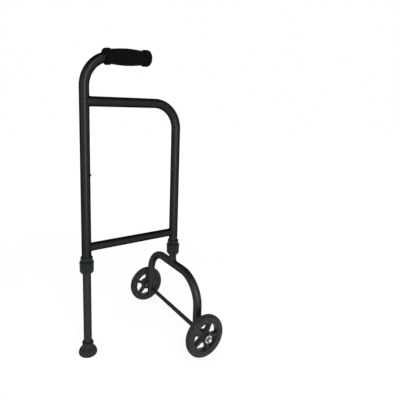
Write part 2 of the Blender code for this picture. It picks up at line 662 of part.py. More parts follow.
def build_axle_end(side_name, side, leg, steel, plastic):
    """What lies on the axle beside one wheel, and the cap under the arm."""
    middle = (POST_SPACING, 0, AXLE_HEIGHT)
    outward = (-side * math.pi / 2, 0, 0)
    arm_spot = (POST_SPACING, side * ARM_OFFSET, 0)

    spacer = ring(SPACER_RADIUS, AXLE_BORE, ARM_OFFSET, SPACER_OUT)
    spacer = add_object(f"{side_name}_wheel_spacer", spacer, plastic, middle, outward)
    saddle_reach = SPACER_RADIUS + PAST_CUT
    arm = swept(upright(AXLE_HEIGHT - saddle_reach, AXLE_HEIGHT + saddle_reach), ARCH_RADIUS + GAP)
    cut(spacer, f"{side_name}_arm_saddle", arm, arm_spot)

    washer = ring(WASHER_RADIUS, AXLE_BORE, WASHER_IN, WASHER_IN + WASHER_THICKNESS)
    washer = add_object(f"{side_name}_outer_washer", washer, steel, middle, outward)
    corner = NUT_ACROSS_FLATS / 2 / math.cos(math.pi / 6)
    hexagon = [(corner * math.cos(k * math.pi / 3), corner * math.sin(k * math.pi / 3)) for k in range(6)]
    nut = add_object(f"{side_name}_wheel_nut", prism(hexagon, NUT_IN, NUT_OUT), steel, middle, outward)
    hole = cylinder(AXLE_BORE, NUT_IN - PAST_CUT, NUT_OUT + PAST_CUT)
    cut(nut, f"{side_name}_nut_hole", hole, middle, outward)

    cap_bottom = ARM_BOTTOM - GAP - ARM_CAP_THICKNESS
    edge = ARM_CAP_THICKNESS / 2
    stem = ARCH_BORE * math.cos(math.pi / TUBE_SIDES) - GAP
    cap_outline = [
        (0, cap_bottom), (ARCH_RADIUS - edge, cap_bottom), (ARCH_RADIUS, cap_bottom + edge),
        (ARCH_RADIUS, ARM_BOTTOM - GAP), (stem, ARM_BOTTOM - GAP), (stem, ARM_BOTTOM + ARM_CAP_DEPTH),
        (0, ARM_BOTTOM + ARM_CAP_DEPTH),
    ]
    cap = add_object(f"{side_name}_arm_cap", turned(cap_outline), plastic, arm_spot)
    for piece in (spacer, washer, nut, cap):
        hang(piece, leg)


def mirrored(half):
    """Closes half of a wheel's section, from its bore to its outer edge, with the other half."""
    return half + [(radius, -height) for radius, height in reversed(half)]


def rim_outline():
    bore = BUSH_RADIUS + GAP
    band = RIM_RADIUS - RIM_BAND
    end = HUB_LENGTH / 2
    return mirrored([
        (bore, end), (HUB_RADIUS - HUB_EDGE, end), (HUB_RADIUS, end - HUB_EDGE), (HUB_RADIUS, WEB_WIDTH / 2),
        (band, WEB_WIDTH / 2), (band, RIM_WIDTH / 2), (RIM_RADIUS, RIM_WIDTH / 2),
    ])


def tyre_outline():
    seat = RIM_RADIUS + GAP
    half_width = TYRE_WIDTH / 2
    shoulder = (WHEEL_RADIUS - TYRE_SHOULDER, half_width - TYRE_SHOULDER)
    bead = [(seat, half_width - TYRE_BEAD), (seat + TYRE_BEAD, half_width)]
    return mirrored(bead + arc(shoulder, TYRE_SHOULDER, 90, 0, CORNER_STEPS))


def window_cutter(turn):
    """One opening between two spokes: a wedge with round corners, cut right through the rim."""
    inner = HUB_RADIUS + WINDOW_TO_HUB
    outer = RIM_RADIUS - RIM_BAND - WINDOW_TO_BAND

    def half_angle(radius):
        """From the opening's middle to the spoke's side, seen from the hub."""
        return math.degrees(math.pi / SPOKE_COUNT - math.asin(SPOKE_WIDTH / 2 / radius))

    far_side = arc((0, 0), outer, -half_angle(outer), half_angle(outer), WINDOW_FAR_STEPS)
    near_side = arc((0, 0), inner, half_angle(inner), -half_angle(inner), WINDOW_NEAR_STEPS)
    mesh = prism(far_side + near_side, -RIM_WIDTH, RIM_WIDTH)
    corners = [Vector(point) for point in (far_side[0], far_side[-1], near_side[0], near_side[-1])]

    def stands_at_corner(edge):
        low, high = (vertex.co for vertex in edge.verts)
        return abs(high.z - low.z) > RIM_WIDTH and min((low.xy - corner).length for corner in corners) < GAP

    edges = [edge for edge in mesh.edges if stands_at_corner(edge)]
    bmesh.ops.bevel(
        mesh, geom=edges, offset=WINDOW_CORNER, affect="EDGES",
        segments=CORNER_STEPS, profile=0.5, material=-1,
    )
    bmesh.ops.rotate(mesh, verts=mesh.verts[:], cent=(0, 0, 0), matrix=Matrix.Rotation(turn, 3, "Z"))
    return mesh


def bush_outline(face, way):
    """A flanged bush in the hub's end at a face, with its flange on the side that the way points to."""
    places = [
        (AXLE_BORE, -BUSH_LENGTH), (BUSH_RADIUS, -BUSH_LENGTH), (BUSH_RADIUS, GAP),
        (BUSH_FLANGE_RADIUS, GAP), (BUSH_FLANGE_RADIUS, GAP + BUSH_FLANGE), (AXLE_BORE, GAP + BUSH_FLANGE),
    ]
    return [(radius, face + way * height) for radius, height in places]


def build_wheel(side_name, side, turn, leg, plastic, rubber, bush_plastic):
    """One wheel: a spoked rim, its tyre, and the two bushes that it turns on."""
    middle = (POST_SPACING, 0, AXLE_HEIGHT)
    hub = (POST_SPACING, side * WHEEL_OFFSET, AXLE_HEIGHT)
    on_edge = (math.pi / 2, 0, 0)
    outward = (-side * math.pi / 2, 0, 0)
    spin = add_carrier(f"{side_name}_wheel_spin", hub, leg)

    rim = add_object(f"{side_name}_rim", turned(rim_outline(), WHEEL_SIDES), plastic, hub, on_edge)
    for window in range(SPOKE_COUNT):
        angle = turn + window * math.tau / SPOKE_COUNT
        cut(rim, f"{side_name}_window_{window + 1}", window_cutter(angle), hub, on_edge)
    tyre = add_object(f"{side_name}_tyre", turned(tyre_outline(), WHEEL_SIDES), rubber, hub, on_edge)

    inner_bush = turned(bush_outline(HUB_IN, -1))
    inner_bush = add_object(f"{side_name}_inner_bush", inner_bush, bush_plastic, middle, outward)
    outer_bush = turned(bush_outline(HUB_OUT, 1))
    outer_bush = add_object(f"{side_name}_outer_bush", outer_bush, bush_plastic, middle, outward)
    for piece in (rim, tyre, inner_bush, outer_bush):
        hang(piece, spin)


def main():
    clear_scene()
    paint = make_material("dark_bronze_paint", (0.045, 0.042, 0.042), 0.32, 0.6)
    foam = make_material("black_foam", (0.012, 0.012, 0.013), 0.85, 0)
    plastic = make_material("black_plastic", (0.02, 0.02, 0.021), 0.5, 0)
    nut_plastic = make_material("nut_plastic", (0.025, 0.025, 0.026), 0.42, 0)
    wheel_plastic = make_material("wheel_plastic", (0.022, 0.022, 0.023), 0.45, 0)
    white_plastic = make_material("white_plastic", (0.7, 0.7, 0.68), 0.4, 0)
    tyre_rubber = make_material("tyre_rubber", (0.11, 0.11, 0.112), 0.75, 0)
    foot_rubber = make_material("foot_rubber", (0.016, 0.016, 0.017), 0.7, 0)
    steel = make_material("steel", (0.62, 0.61, 0.6), 0.28, 1)

    build_frame(paint)
    build_grip(foam, plastic)
    for place, x in (("rear", 0), ("front", POST_SPACING)):
        build_lock(place, x, plastic, nut_plastic)
    build_rear_leg(paint, steel, plastic, foot_rubber)
    fork = build_fork(paint, steel, plastic)
    for side_name, side, turn in (("right", -1, RIGHT_WHEEL_TURN), ("left", 1, LEFT_WHEEL_TURN)):
        build_axle_end(side_name, side, fork, steel, plastic)
        build_wheel(side_name, side, turn, fork, wheel_plastic, tyre_rubber, white_plastic)


main()
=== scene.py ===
# A walking cane on a rear foot and two front wheels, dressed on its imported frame.
import json
import math

import bmesh
import bpy
from mathutils import Matrix, Vector


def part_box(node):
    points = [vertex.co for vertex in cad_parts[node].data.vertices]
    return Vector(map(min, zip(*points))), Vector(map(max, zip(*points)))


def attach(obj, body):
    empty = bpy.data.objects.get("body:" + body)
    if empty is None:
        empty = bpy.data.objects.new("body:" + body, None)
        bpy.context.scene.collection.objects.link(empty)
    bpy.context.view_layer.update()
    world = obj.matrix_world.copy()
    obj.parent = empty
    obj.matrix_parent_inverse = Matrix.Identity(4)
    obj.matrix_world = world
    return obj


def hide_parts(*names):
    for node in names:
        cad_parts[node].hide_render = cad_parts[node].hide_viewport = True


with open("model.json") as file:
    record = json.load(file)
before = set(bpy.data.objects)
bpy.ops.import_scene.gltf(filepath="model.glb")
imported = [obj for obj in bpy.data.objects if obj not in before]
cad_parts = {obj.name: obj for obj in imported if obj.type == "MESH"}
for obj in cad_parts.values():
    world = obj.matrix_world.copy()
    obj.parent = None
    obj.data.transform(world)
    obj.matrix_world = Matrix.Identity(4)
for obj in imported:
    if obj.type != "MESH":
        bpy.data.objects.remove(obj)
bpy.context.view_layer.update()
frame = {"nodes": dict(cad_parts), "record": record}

mm = 0.001
sharpAngle = 40       # in degrees: edges with a wider angle between their faces are shaded sharp
ahead, left, up = Vector((1, 0, 0)), Vector((0, 1, 0)), Vector((0, 0, 1))


# A shader socket that Python's operators work on
class Value:
    def __init__(self, finish, socket):
        self.finish = finish
        self.socket = socket

    def maths(self, operation, first, second):
        return self.finish.node("ShaderNodeMath", {"operation": operation}, {0: first, 1: second})

    def __add__(self, other):
        return self.maths("ADD", self, other)

    def __sub__(self, other):
        return self.maths("SUBTRACT", self, other)

    def __rsub__(self, other):
        return self.maths("SUBTRACT", other, self)

    def __mul__(self, other):
        return self.maths("MULTIPLY", self, other)

    __radd__ = __add__
    __rmul__ = __mul__

    def orMore(self, other):
        return self.maths("MAXIMUM", self, other)

    def between(self, low, high, first=0.0, last=1.0):
        # The first value up to low, the last one from high on, and a smooth step between
        sockets = {"Value": self, "From Min": low, "From Max": high, "To Min": first, "To Max": last}
        return self.finish.node("ShaderNodeMapRange", {"interpolation_type": "SMOOTHSTEP"}, sockets)


# The nodes of a material or of the world, round its shader
class Finish:
    def __init__(self, owner, shaderName="Principled BSDF"):
        owner.use_nodes = True
        self.owner = owner
        self.tree = owner.node_tree
        self.shader = self.tree.nodes[shaderName]

    def feed(self, sockets, values):
        for name, value in values.items():
            if isinstance(value, Value):
                self.tree.links.new(value.socket, sockets[name])
            else:
                sockets[name].default_value = value

    def node(self, kind, settings, sockets, output=0):
        made = self.tree.nodes.new(kind)
        for name, value in settings.items():
            setattr(made, name, value)
        self.feed(made.inputs, sockets)
        return Value(self, made.outputs[output])

    def wire(self, values):
        self.feed(self.shader.inputs, values)
        return self.owner

    def where(self, output="Object"):
        return self.node("ShaderNodeTexCoord", {}, {}, output)

    def noise(self, scale, detail=3.0, roughness=0.5):
        sockets = {"Vector": self.where(), "Scale": scale, "Detail": detail, "Roughness": roughness}
        return self.node("ShaderNodeTexNoise", {"noise_dimensions": "3D"}, sockets, "Fac")

    def cells(self, scale):
        sockets = {"Vector": self.where(), "Scale": scale}
        return self.node("ShaderNodeTexVoronoi", {"feature": "F1"}, sockets, "Distance")

    def mix(self, share, first, second):
        # Colours are three numbers each, or a Value. The node's colours are its inputs 6 and 7 and output 2.
        first, second = (tone if isinstance(tone, Value) else (*tone, 1) for tone in (first, second))
        return self.node("ShaderNodeMix", {"data_type": "RGBA"}, {0: share, 6: first, 7: second}, 2)

    def bump(self, height, depth, strength):
        sockets = {"Height": height, "Distance": depth, "Strength": strength}
        return self.node("ShaderNodeBump", {}, sockets, "Normal")

    def ray(self, kind):
        return self.node("ShaderNodeLightPath", {}, {}, f"Is {kind} Ray")

    def seenDirectly(self):
        # 1 for what the camera sees, also through gloss or glass
        return self.ray("Camera").orMore(self.ray("Glossy")).orMore(self.ray("Transmission"))


def newFinish(name, colour, constants):
    material = bpy.data.materials.new(name)
    material.diffuse_color = (*colour, 1)
    finish = Finish(material)
    finish.wire({"Base Color": (*colour, 1), **constants})
    return finish


# Finishes
def paintFinish(name, dark, light, fleck, metal):
    paint = newFinish(name, light, {
        "Metallic": metal,
        "Specular Tint": (0.05, 0.05, 0.05, 1),     # dark where the tube turns away
    })
    grain = paint.noise(1400, detail=2)
    cloud = paint.noise(22)
    tone = paint.mix(cloud, dark, light)
    return paint.wire({
        "Base Color": paint.mix(0.25 * paint.cells(2600), tone, fleck),
        "Roughness": 0.30 + 0.08 * grain + 0.06 * cloud,
        "Normal": paint.bump(grain, depth=0.05 * mm, strength=0.35),
    })


def foamFinish():
    foam = newFinish("black_grip_foam", (0.0022, 0.0024, 0.0027), {"Specular IOR Level": 0.05})
    pores = foam.cells(1500)
    skin = foam.noise(320, detail=4, roughness=0.6)
    return foam.wire({
        "Base Color": foam.mix(pores.between(0.1, 0.6), (0.0011, 0.0012, 0.0014), (0.0034, 0.0037, 0.0041)),
        "Roughness": 0.82 + 0.14 * skin,
        "Normal": foam.bump(0.7 * pores + 0.5 * skin, depth=0.35 * mm, strength=0.5),
    })


def mouldedFinish(name, dark, light, roughness, gloss):
    plastic = newFinish(name, light, {"Specular IOR Level": gloss})
    grain = plastic.noise(2200, roughness=0.6)
    flow = plastic.noise(45, detail=2)
    return plastic.wire({
        "Base Color": plastic.mix(flow, dark, light),
        "Roughness": roughness + 0.10 * grain + 0.05 * flow,
        "Normal": plastic.bump(grain, depth=0.04 * mm, strength=0.4),
    })


def rubberFinish(name, dark, light):
    rubber = newFinish(name, light, {"Specular IOR Level": 0.18})
    dust = rubber.noise(140, detail=5, roughness=0.65)
    grain = rubber.noise(2600, detail=2)
    return rubber.wire({
        "Base Color": rubber.mix(dust.between(0.3, 0.8), dark, light),
        "Roughness": 0.62 + 0.12 * dust,
        "Normal": rubber.bump(grain + 0.5 * dust, depth=0.05 * mm, strength=0.45),
    })


def platedFinish(name, dark, light, roughness):
    plate = newFinish(name, light, {"Metallic": 1.0})
    cloud = plate.noise(420, detail=4)
    return plate.wire({
        "Base Color": plate.mix(cloud, dark, light),
        "Roughness": roughness + 0.18 * cloud,
        "Normal": plate.bump(plate.noise(1800, detail=2), depth=0.02 * mm, strength=0.3),
    })


print("finishes")
framePaint = paintFinish(
    "satin_charcoal_paint", (0.016, 0.018, 0.0195), (0.0213, 0.0235, 0.025), fleck=(0.0345, 0.0365, 0.038),
    metal=1.0,
)
# A lighter copy of the frame's charcoal paint for the legs, fork arch and tie bar: painted light, standing in
# for the extra light that reaches the lower tubes
legPaintWithPaintedLight = paintFinish(
    "charcoal_leg_paint_painted_lighter", (0.026, 0.028, 0.030), (0.034, 0.0365, 0.039), fleck=(0.05, 0.051, 0.053),
    metal=0.8,
)
foam = foamFinish()
plastic = mouldedFinish(
    "black_moulded_plastic", (0.0085, 0.010, 0.012), (0.013, 0.015, 0.018), roughness=0.50, gloss=0.15,
)
nutPlastic = mouldedFinish(
    "nut_moulded_plastic", (0.009, 0.011, 0.0115), (0.0125, 0.016, 0.0165), roughness=0.48, gloss=0.14,
)
wheelPlastic = mouldedFinish(
    "wheel_moulded_plastic", (0.014, 0.0145, 0.017), (0.021, 0.022, 0.026), roughness=0.40, gloss=0.24,
)
bushPlastic = mouldedFinish(
    "white_bush_plastic", (0.66, 0.66, 0.64), (0.72, 0.72, 0.70), roughness=0.35, gloss=0.4,
)
tyreRubber = rubberFinish("grey_tyre_rubber", (0.021, 0.0225, 0.0225), (0.032, 0.0345, 0.0345))
footRubber = rubberFinish("black_foot_rubber", (0.0155, 0.0195, 0.0198), (0.024, 0.0295, 0.030))
zinc = platedFinish("bright_zinc_plate", (0.62, 0.62, 0.62), (0.80, 0.80, 0.79), roughness=0.20)
darkZinc = platedFinish("dark_zinc_plate", (0.10, 0.10, 0.11), (0.17, 0.17, 0.18), roughness=0.12)


# The camera, found by fitting one to the photograph
camera = {
    "place": (-0.2696, -0.8038, 0.6407),
    "heading": 29.26,     # degrees from +Y towards +X
    "down": 8.56,
    "roll": 0.71,
    "focal": 335.8,       # in pixels of the photograph
    "centre": (148.0, 166.3),
    "frame": 400,
    "sensor": 36.0,
    "nearest": 0.01,      # nothing closer is drawn
}


def setCamera():
    heading, down, roll = (math.radians(camera[key]) for key in ("heading", "down", "roll"))
    look = Vector((math.sin(heading) * math.cos(down), math.cos(heading) * math.cos(down), -math.sin(down)))
    level = Vector((math.cos(heading), -math.sin(heading), 0))
    upright = level.cross(look)
    right = math.cos(roll) * level + math.sin(roll) * upright
    top = math.cos(roll) * upright - math.sin(roll) * level
    turn = Matrix((right, top, -look)).transposed().to_4x4()
    data = bpy.data.cameras.new("camera")
    data.sensor_width = camera["sensor"]
    data.lens = camera["focal"] / camera["frame"] * camera["sensor"]
    data.shift_x = 0.5 - camera["centre"][0] / camera["frame"]
    data.shift_y = camera["centre"][1] / camera["frame"] - 0.5
    data.clip_start = camera["nearest"]
    lens = bpy.data.objects.new("camera", data)
    lens.matrix_world = Matrix.Translation(camera["place"]) @ turn
    bpy.context.scene.collection.objects.link(lens)
    bpy.context.scene.camera = lens


setCamera()


# Mesh tools
def loopAt(bm, radius, place, sides):
    made = bmesh.ops.create_circle(bm, radius=radius, segments=sides, matrix=place)["verts"]
    return list(dict.fromkeys(edge for vert in made for edge in vert.link_edges))


def cornersOf(loop):
    return list(dict.fromkeys(vert for edge in loop for vert in edge.verts))


def cornersIn(made):
    return [item for item in made if isinstance(item, bmesh.types.BMVert)]


def edgesIn(made):
    return [item for item in made if isinstance(item, bmesh.types.BMEdge)]


def runOn(bm, loop, move):
    # Carries a tube straight on
    made = bmesh.ops.extrude_edge_only(bm, edges=loop)["geom"]
    corners = cornersIn(made)
    bmesh.ops.translate(bm, verts=corners, vec=move)
    return [edge for edge in edgesIn(made) if set(corners).issuperset(edge.verts)]


def bendOn(bm, loop, centre, axis, angle):
    # Carries a tube round a bend
    made = bmesh.ops.spin(
        bm, geom=cornersOf(loop) + loop, cent=centre, axis=axis, angle=angle, steps=tubes["bendSteps"],
        use_merge=False, use_duplicate=False,
    )["geom_last"]
    return edgesIn(made)


def joinLoops(bm, loops):
    for first, second in zip(loops, loops[1:]):
        bmesh.ops.bridge_loops(bm, edges=first + second)


def closeWith(bm, loop, point):
    # A fan of faces from a loop to one point
    made = bmesh.ops.extrude_edge_only(bm, edges=loop)["geom"]
    bmesh.ops.pointmerge(bm, verts=cornersIn(made), merge_co=point)


def lathe(outline, sides, place=Matrix()):
    # Turns (radius, height) points in millimetres about Z. An outline off the axis is closed into a ring.
    bm = bmesh.new()
    corners = [bm.verts.new((radius * mm, 0, height * mm)) for radius, height in outline]
    lines = [bm.edges.new(pair) for pair in zip(corners, corners[1:])]
    if outline[0][0] > 0:
        lines.append(bm.edges.new((corners[-1], corners[0])))
    bmesh.ops.spin(
        bm, geom=corners + lines, cent=(0, 0, 0), axis=up, angle=math.tau, steps=sides,
        use_merge=True, use_duplicate=False,
    )
    bmesh.ops.transform(bm, matrix=place, verts=bm.verts)
    return bm


def arc(centre, radius, start, end, steps):
    # Outline points from one angle to another, in degrees
    angles = [math.radians(start + (end - start) * step / steps) for step in range(steps + 1)]
    return [(centre[0] + radius * math.cos(a), centre[1] + radius * math.sin(a)) for a in angles]


def threadDown(top, thread):
    # Outline points of a thread. A groove's four corners are given by how far they lie under its ridge's top.
    outline = []
    for turn in range(thread["turns"]):
        ridge = top - turn * thread["pitch"]
        radii = (thread["crest"], thread["root"], thread["root"], thread["crest"])
        outline += [(radius, ridge - down) for radius, down in zip(radii, thread["groove"])]
    return outline


def addBar(bm, radius, low, high, sides, place):
    # A closed bar along the place's Z
    bmesh.ops.create_cone(
        bm, cap_ends=True, segments=sides, radius1=radius, radius2=radius, depth=high - low,
        matrix=place @ Matrix.Translation((0, 0, (low + high) / 2)),
    )


def bar(radius, low, high, sides, place):
    bm = bmesh.new()
    addBar(bm, radius, low, high, sides, place)
    return bm


def facing(spot, way):
    # A place at the spot whose Z points along the way
    return Matrix.Translation(spot) @ way.to_track_quat("Z", "Y").to_matrix().to_4x4()


def cleanUp(bm):
    bmesh.ops.remove_doubles(bm, verts=bm.verts, dist=1e-6)
    bmesh.ops.recalc_face_normals(bm, faces=bm.faces)


def pressIn(bm, sides, isChosen, inset, depth):
    # Sinks those faces of a lathed piece that pass the test of their middle and of their place in the round
    cleanUp(bm)
    chosen = []
    for face in bm.faces:
        middle = face.calc_center_median()
        sector = round(math.degrees(math.atan2(middle.y, middle.x)) % 360 * sides / 360 - 0.5)
        if isChosen(middle, sector):
            chosen.append(face)
    bmesh.ops.inset_region(bm, faces=chosen, thickness=inset * mm, depth=-depth * mm, use_even_offset=True)


def intoMesh(name, bm):
    cleanUp(bm)
    data = bpy.data.meshes.new(name)
    bm.to_mesh(data)
    bm.free()
    piece = bpy.data.objects.new(name, data)
    bpy.context.scene.collection.objects.link(piece)
    return piece


def smooth(piece, angle):
    piece.data.shade_smooth()
    piece.data.set_sharp_from_angle(angle=math.radians(angle))


def makePiece(name, bm, finish, body, slotName, *nodes, sharp=sharpAngle):
    piece = intoMesh(name, bm)
    piece.data.materials.append(finish)
    smooth(piece, sharp)
    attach(piece, body)
    if nodes:
        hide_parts(*nodes)
    return piece


def settle(piece):
    # Applies a piece's modifiers to its mesh
    bpy.context.view_layer.update()
    seen = piece.evaluated_get(bpy.context.evaluated_depsgraph_get())
    data = bpy.data.meshes.new_from_object(seen)
    piece.modifiers.clear()
    piece.data = data
    smooth(piece, sharpAngle)


def carve(piece, *cutters, operation="DIFFERENCE"):
    for bm in cutters:
        cutter = intoMesh("cutter", bm)
        cut = piece.modifiers.new("cut", "BOOLEAN")
        cut.operation = operation
        cut.solver = "EXACT"
        cut.object = cutter
        settle(piece)
        bpy.data.objects.remove(cutter)


def wallOf(piece, thickness):
    # Gives an open skin its wall, inwards
    wall = piece.modifiers.new("wall", "SOLIDIFY")
    wall.thickness = thickness * mm
    wall.offset = -1
    wall.use_even_offset = True
    settle(piece)


def roundEdges(piece, width, angle):
    edge = piece.modifiers.new("edges", "BEVEL")
    edge.width = width * mm
    edge.segments = 2
    edge.limit_method = "ANGLE"
    edge.angle_limit = math.radians(angle)
    settle(piece)


def middleOf(node):
    low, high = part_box(node)
    return (low + high) / 2


# Painted tubes, in millimetres
tubes = {
    "sides": 64,
    "bendSteps": 28,
    "post": 12.7,
    "postWall": 1.4,
    "handleBend": 76.5,
    "handleTurn": 87.8,
    "handleAboveTopBar": 35.3,    # where the handle's bend starts
    "handleReach": 97.4,          # the straight end under the grip
    "bowBend": 70.0,
    "crossbar": 11.0,
    "leg": 11.0,
    "legWall": 1.2,
    "arch": 11.75,
    "archWall": 1.5,
    "archBend": 75.0,
    "tieBar": 6.0,
    "tieBarWall": 1.7,
    "tieHoleSides": 40,
    "gap": 0.3,                   # between a coped end and its post
    "hole": 3.5,
    "holeSides": 32,
    "holePitch": 25.0,
    "holes": 7,
}
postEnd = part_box("main_post")[0].z
axleMiddle = middleOf("axle_rod")
spacing, axleHeight = axleMiddle.x, axleMiddle.z
armOut = middleOf("left_arm_cap").y
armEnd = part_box("fork_arch")[0].z
buttonHeight = middleOf("rear_snap_button").z
crossbarHeight = middleOf("crossbar").z
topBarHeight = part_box("front_bow")[1].z - tubes["post"] * mm
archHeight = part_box("fork_arch")[1].z - tubes["arch"] * mm

handleTurn = math.radians(tubes["handleTurn"])
handleWay = Vector((math.sin(handleTurn), 0, math.cos(handleTurn)))
handleUp = Vector((-math.cos(handleTurn), 0, math.sin(handleTurn)))
handleCentre = Vector((tubes["handleBend"] * mm, 0, topBarHeight + tubes["handleAboveTopBar"] * mm))
bendEnd = handleCentre + tubes["handleBend"] * mm * handleUp


def startTube(radius, spot, way):
    bm = bmesh.new()
    return bm, loopAt(bm, radius * mm, facing(spot, way), tubes["sides"])


# Tubes off the frame get the lighter copy of the paint, whose extra lightness is painted light
def paintOn(body):
    return framePaint if body == "frame" else legPaintWithPaintedLight


def finishTube(name, bm, wall, body, node):
    piece = makePiece(name, bm, paintOn(body), body, "frame_paint", node)
    wallOf(piece, wall)
    return piece


def cope(loop, middle, way, across, radius):
    # Shapes a tube's end to lie against a round tube through the middle point
    reach = (radius + tubes["gap"]) * mm
    for vert in cornersOf(loop):
        out = vert.co - middle
        vert.co += (math.sqrt(reach ** 2 - out.dot(across) ** 2) - out.dot(way)) * way


def holeRow(x, toward):
    # Cutters for the height holes on the side that faces the other post
    bm = bmesh.new()
    reach = tubes["post"] * mm
    for step in range(tubes["holes"]):
        height = buttonHeight - step * tubes["holePitch"] * mm
        place = facing((x + toward * reach, 0, height), ahead)
        addBar(bm, tubes["hole"] * mm, -reach / 2, reach / 2, tubes["holeSides"], place)
    return bm


def makeHandlePost():
    bm, loop = startTube(tubes["post"], (0, 0, postEnd), up)
    loop = runOn(bm, loop, (handleCentre.z - postEnd) * up)
    loop = bendOn(bm, loop, handleCentre, left, handleTurn)
    runOn(bm, loop, tubes["handleReach"] * mm * handleWay)
    post = finishTube("rear_post_tube", bm, tubes["postWall"], "frame", "main_post")
    carve(post, holeRow(0, 1))


def makeBow():
    bend = tubes["bowBend"] * mm
    centre = Vector((spacing - bend, 0, topBarHeight - bend))
    start = Vector((0, 0, topBarHeight))
    bm, first = startTube(tubes["post"], start, ahead)
    loop = runOn(bm, first, centre.x * ahead)
    loop = bendOn(bm, loop, centre, left, math.pi / 2)
    runOn(bm, loop, (postEnd - centre.z) * up)
    cope(first, start, ahead, left, tubes["post"])
    bow = finishTube("front_bow_tube", bm, tubes["postWall"], "frame", "front_bow")
    carve(bow, holeRow(spacing, -1))


def makeCrossbar():
    start, end = Vector((0, 0, crossbarHeight)), Vector((spacing, 0, crossbarHeight))
    bm, first = startTube(tubes["crossbar"], start, ahead)
    last = runOn(bm, first, end - start)
    cope(first, start, ahead, left, tubes["post"])
    cope(last, end, -ahead, left, tubes["post"])
    finishTube("crossbar_tube", bm, tubes["postWall"], "frame", "crossbar")


def makeArch():
    bend = tubes["archBend"] * mm
    shoulder = archHeight - bend
    flat = armOut - bend
    bm, loop = startTube(tubes["arch"], (spacing, -armOut, armEnd), up)
    loop = runOn(bm, loop, (shoulder - armEnd) * up)
    loop = bendOn(bm, loop, (spacing, -flat, shoulder), -ahead, math.pi / 2)
    loop = runOn(bm, loop, 2 * flat * left)
    loop = bendOn(bm, loop, (spacing, flat, shoulder), -ahead, math.pi / 2)
    runOn(bm, loop, (armEnd - shoulder) * up)
    arch = finishTube("fork_arch_tube", bm, tubes["archWall"], "front_fork", "fork_arch")
    tieHole = (tubes["tieBar"] + tubes["gap"]) * mm
    reach = armOut + tubes["arch"] * 2 * mm
    place = facing((spacing, 0, axleHeight), left)
    carve(arch, bar(tieHole, -reach, reach, tubes["tieHoleSides"], place))


def makeLeg(end, x, toward, body):
    low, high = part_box(f"{end}_leg_tube")
    bm, first = startTube(tubes["leg"], (x, 0, low.z), up)
    runOn(bm, first, (high.z - low.z) * up)
    if end == "front":
        cope(first, Vector((x, 0, archHeight)), up, ahead, tubes["arch"])
    leg = finishTube(f"{end}_leg", bm, tubes["legWall"], body, f"{end}_leg_tube")
    place = facing((x, 0, buttonHeight), toward * ahead)
    carve(leg, bar(tubes["hole"] * mm, 0, tubes["post"] * mm, tubes["holeSides"], place))


def makeTieBar():
    low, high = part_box("tie_bar")
    bm, first = startTube(tubes["tieBar"], (spacing, low.y, axleHeight), left)
    runOn(bm, first, (high.y - low.y) * left)
    finishTube("fork_tie_bar", bm, tubes["tieBarWall"], "front_fork", "tie_bar")


print("tubes")
makeHandlePost()
makeBow()
makeCrossbar()
makeArch()
makeLeg("rear", 0, 1, "rear_leg")
makeLeg("front", spacing, -1, "front_fork")
makeTieBar()


# Weld beads, in millimetres. Each runs round the end of a branch tube that meets a main tube.
weld = {
    "bead": 1.4,
    "ripple": 0.2,
    "ripples": 34,
    "stations": 136,
    "sides": 12,
    "tuck": 0.985,        # keeps a bead on a branch as wide as its main tube
    "nudge": 0.01,        # radians to either side of a station that give the bead's direction there
    "joints": {
        "top_bar": ("frame", (0, 0, topBarHeight), ahead, left, "post", "post"),
        "crossbar_rear": ("frame", (0, 0, crossbarHeight), ahead, left, "crossbar", "post"),
        "crossbar_front": ("frame", (spacing, 0, crossbarHeight), -ahead, left, "crossbar", "post"),
        "fork": ("front_fork", (spacing, 0, archHeight), up, ahead, "leg", "arch"),
        "right_arm": ("front_fork", (spacing, -armOut, axleHeight), left, ahead, "tieBar", "arch"),
        "left_arm": ("front_fork", (spacing, armOut, axleHeight), -left, ahead, "tieBar", "arch"),
    },
}


def makeBead(name, body, middle, way, across, branch, main):
    # The bead's middle line lies where the branch's skin meets the main tube's
    along = way.cross(across)
    branchRadius, mainRadius = weld["tuck"] * tubes[branch] * mm, tubes[main] * mm

    def pointAt(angle):
        aside = branchRadius * math.cos(angle)
        rise = math.sqrt(mainRadius ** 2 - aside ** 2)
        return Vector(middle) + aside * across + branchRadius * math.sin(angle) * along + rise * way

    bm = bmesh.new()
    loops = []
    for station in range(weld["stations"]):
        angle = math.tau * station / weld["stations"]
        heading = pointAt(angle + weld["nudge"]) - pointAt(angle - weld["nudge"])
        radius = weld["bead"] + weld["ripple"] * abs(math.sin(weld["ripples"] * angle / 2))
        loops.append(loopAt(bm, radius * mm, facing(pointAt(angle), heading), weld["sides"]))
    joinLoops(bm, loops + loops[:1])
    makePiece(f"weld_bead_{name}", bm, paintOn(body), body, "frame_paint")


print("welds")
for name, joint in weld["joints"].items():
    makeBead(name, *joint)


# The foam grip, in millimetres from its inner end
grip = {
    "sides": 72,
    "length": 130.0,
    "heel": 22.0,               # the stretch that covers the end of the bend
    "heelBend": 160.0,
    "collar": 20.7,
    "collarLength": 16.0,
    "collarRounding": 5.0,
    "collarLoops": (0.5, 0.7),  # in collar lengths
    "neck": 18.3,
    "belly": 3.0,
    "bellySteps": 32,
    "knob": 21.4,
    "knobLength": 20.5,
    "knobRounding": 9.0,
    "knobTurn": 86,             # degrees of its rounding, up to the fan that closes it
    "knobLoops": (1.7, 1.35),   # in roundings from its end
    "edge": 1.6,                # rounding of the steps down to the neck
    "edgeTurn": 60,
    "step": 3.0,
    "bore": 13.0,
    "boreDepth": 12.0,
    "boreLoops": (8, 4, 0.6),
    "boreFlare": 0.5,
    "sharp": 60,
    "fill": 0.95,
}


def alongHandle(distance, bend):
    # A place on the grip's middle line, whose heel bends with this radius
    past = distance - grip["heel"]
    angle = min(past / bend, 0)
    centre = bendEnd - bend * mm * handleUp
    spot = centre + bend * mm * (Matrix.Rotation(angle, 3, "Y") @ handleUp) + max(past, 0) * mm * handleWay
    return facing(spot, Matrix.Rotation(angle, 3, "Y") @ handleWay)


